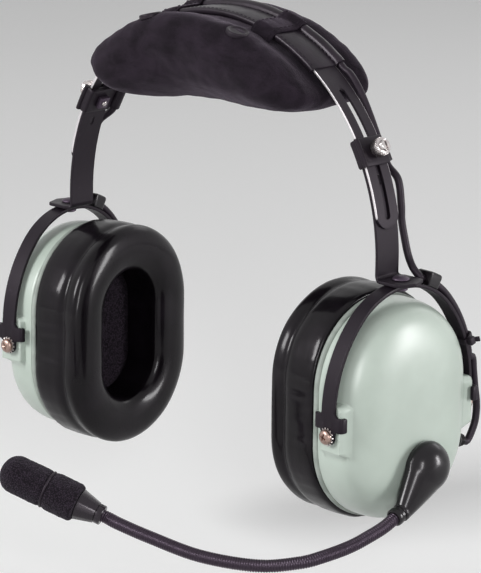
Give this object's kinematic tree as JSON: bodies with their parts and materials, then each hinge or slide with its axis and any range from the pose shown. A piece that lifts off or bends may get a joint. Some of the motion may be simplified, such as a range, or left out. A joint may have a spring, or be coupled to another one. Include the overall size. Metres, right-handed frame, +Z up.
{
  "type": "aviation headset",
  "caption": "Over-ear aviation headset with a padded spring head band, sage green ear cups on swivelling stirrups, black ear seals and a flexible boom microphone.",
  "frame": {"origin": "midway between the two ear seals, at the height of the cup pivot screws", "axes": "+X towards the wearer's left ear, -Y towards the front, +Z up"},
  "size_m": [0.258, 0.191, 0.2334],
  "materials": {
    "black_steel": "satin black coating on spring steel strip",
    "sleeve_vinyl": "smooth black vinyl with a soft gloss",
    "pad_velour": "short black velour",
    "snap_enamel": "black enamelled snap cap",
    "lead_jacket": "black PVC jacket, satin",
    "knob_chrome": "bright nickel plate, knurled",
    "plain_steel": "zinc plated steel",
    "rivet_steel": "blackened steel",
    "tie_nylon": "black nylon",
    "dome_green": "pale sage green moulded plastic, satin",
    "screw_copper": "copper toned plating",
    "washer_steel": "toothed spring steel washer",
    "plate_grey": "light grey green moulded plastic edge",
    "seal_vinyl": "glossy black vinyl over soft foam",
    "liner_foam": "dark open cell foam",
    "inner_plastic": "dark moulded plastic",
    "speaker_metal": "plain metal",
    "boot_rubber": "glossy black moulded rubber",
    "gooseneck_black": "black ribbed flexible tube",
    "mic_black": "glossy black moulded plastic",
    "wind_foam": "dark grey open cell foam",
    "ring_rubber": "black rubber ring"
  },
  "bodies": {
    "headband": {"headband_spring": "black_steel", "band_sleeve": "sleeve_vinyl", "head_pad": "pad_velour", "pad_keepers": "pad_velour", "pad_snaps": "snap_enamel", "lead_in_band": "lead_jacket", "left_lead_drop": "lead_jacket", "right_lead_drop": "lead_jacket"},
    "left_arm": {"left_slide_arm": "black_steel", "left_clamp_block": "black_steel", "left_clamp_nut": "plain_steel", "left_swivel_rivet": "rivet_steel"},
    "left_clamp_knob": {"left_clamp_screw": "knob_chrome"},
    "left_yoke": {"left_stirrup": "black_steel", "left_lead_clip": "boot_rubber", "left_lead_tie": "tie_nylon", "left_lead_run": "lead_jacket", "left_lead_tail": "lead_jacket"},
    "left_cup": {"left_dome": "dome_green", "left_pivot_screws": "screw_copper", "left_pivot_washers": "washer_steel", "left_seal_plate": "plate_grey", "left_ear_seal": "seal_vinyl", "left_foam_liner": "liner_foam", "left_baffle": "inner_plastic", "left_speaker": "speaker_metal", "left_dome_foam": "liner_foam", "left_grommet": "boot_rubber", "boom_base": "inner_plastic", "boom_stud": "plain_steel", "boom_nut": "plain_steel"},
    "right_arm": {"right_slide_arm": "black_steel", "right_clamp_block": "black_steel", "right_clamp_nut": "plain_steel", "right_swivel_rivet": "rivet_steel"},
    "right_clamp_knob": {"right_clamp_screw": "knob_chrome"},
    "right_yoke": {"right_stirrup": "black_steel", "right_lead_clip": "boot_rubber", "right_lead_tie": "tie_nylon", "right_lead_run": "lead_jacket", "right_lead_tail": "lead_jacket"},
    "right_cup": {"right_dome": "dome_green", "right_pivot_screws": "screw_copper", "right_pivot_washers": "washer_steel", "right_seal_plate": "plate_grey", "right_ear_seal": "seal_vinyl", "right_foam_liner": "liner_foam", "right_baffle": "inner_plastic", "right_speaker": "speaker_metal", "right_dome_foam": "liner_foam", "right_grommet": "boot_rubber"},
    "boom": {"boom_boot": "boot_rubber", "boom_collar": "boot_rubber", "boom_gooseneck": "gooseneck_black", "mic_housing": "mic_black", "mic_element": "speaker_metal", "mic_windscreen": "wind_foam", "mic_windscreen_ring": "ring_rubber"}
  },
  "joints": [
    {"name": "left_extension", "type": "hinge", "parent": "headband", "child": "left_arm", "pos_m": [0, 0, 0.072], "axis": [0, 1, 0], "range_deg": [-8, 14], "deforming": ["left_lead_drop"]},
    {"name": "left_clamp_turn", "type": "hinge", "parent": "left_arm", "child": "left_clamp_knob", "pos_m": [0.08959, 0, 0.12076], "axis": [0.8783, 0, 0.478], "range_deg": [0, 360]},
    {"name": "left_swivel", "type": "hinge", "parent": "left_arm", "child": "left_yoke", "pos_m": [0.109, 0, 0.0645], "axis": [0, 0, 1], "range_deg": [-12, 12]},
    {"name": "left_tilt", "type": "hinge", "parent": "left_yoke", "child": "left_cup", "pos_m": [0.109, 0, 0], "axis": [0.0698, 0.9976, 0], "range_deg": [-4, 4], "deforming": ["left_lead_tail"]},
    {"name": "right_extension", "type": "hinge", "parent": "headband", "child": "right_arm", "pos_m": [0, 0, 0.072], "axis": [0, -1, 0], "range_deg": [-8, 14], "deforming": ["right_lead_drop"]},
    {"name": "right_clamp_turn", "type": "hinge", "parent": "right_arm", "child": "right_clamp_knob", "pos_m": [-0.08959, 0, 0.12076], "axis": [-0.8783, 0, 0.478], "range_deg": [0, 360]},
    {"name": "right_swivel", "type": "hinge", "parent": "right_arm", "child": "right_yoke", "pos_m": [-0.109, 0, 0.0645], "axis": [0, 0, 1], "range_deg": [-12, 12]},
    {"name": "right_tilt", "type": "hinge", "parent": "right_yoke", "child": "right_cup", "pos_m": [-0.109, 0, 0], "axis": [-0.0698, 0.9976, 0], "range_deg": [-4, 4], "deforming": ["right_lead_tail"]},
    {"name": "boom_swivel", "type": "hinge", "parent": "left_cup", "child": "boom", "pos_m": [0.12717, 0.00174, -0.0196], "axis": [-0.9976, 0.0698, 0], "range_deg": [-15, 70]}
  ]
}
